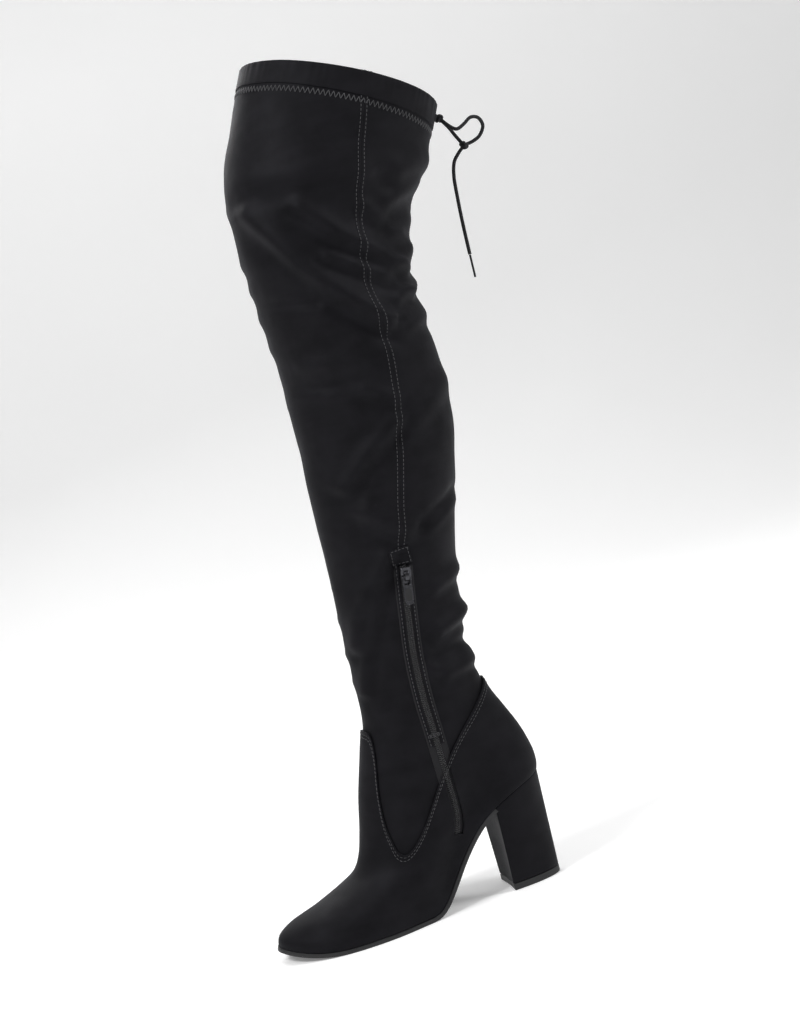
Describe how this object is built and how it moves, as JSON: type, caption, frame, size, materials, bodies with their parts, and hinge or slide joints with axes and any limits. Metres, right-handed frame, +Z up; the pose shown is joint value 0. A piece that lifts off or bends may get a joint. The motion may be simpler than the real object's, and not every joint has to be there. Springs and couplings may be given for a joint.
{
  "type": "thigh high boot",
  "caption": "Pull-on thigh high boot in soft suede fabric, for the right foot, with a block heel, a short inner side zip and a drawcord tied at the back of the collar.",
  "frame": {"origin": "on the floor, at the middle of the heel's top lift", "axes": "+Z up the leg, -Y toward the toe, +X toward the inner side of the leg, where the zip is"},
  "size_m": [0.1472, 0.3231, 0.663],
  "materials": {
    "black_suede": "matt microfibre suede",
    "black_rubber": "satin",
    "black_lining": "matt",
    "zip_coil": "satin",
    "dark_metal": "polished gunmetal",
    "black_cord": "braided cord"
  },
  "bodies": {
    "boot": {"outsole": "black_rubber", "heel": "black_suede", "top_lift": "black_rubber", "insole": "black_lining", "upper": "black_suede", "shaft": "black_suede", "shaft_knee": "black_suede", "shaft_thigh": "black_suede", "collar_casing": "black_suede", "zip": "zip_coil", "zip_slider": "dark_metal", "cord_knot_exit": "black_cord", "cord_knot_bow": "black_cord", "cord_loop": "black_cord", "cord_strand": "black_cord", "cord_end": "black_cord", "cord_tip": "dark_metal"},
    "pull": {"zip_pull": "dark_metal"}
  },
  "joints": [
    {"name": "zip_pull_hinge", "type": "hinge", "parent": "boot", "child": "pull", "pos_m": [0.04959, -0.04544, 0.26131], "axis": [-0.0074, -0.9907, 0.1362], "range_deg": [-5, 150]}
  ]
}
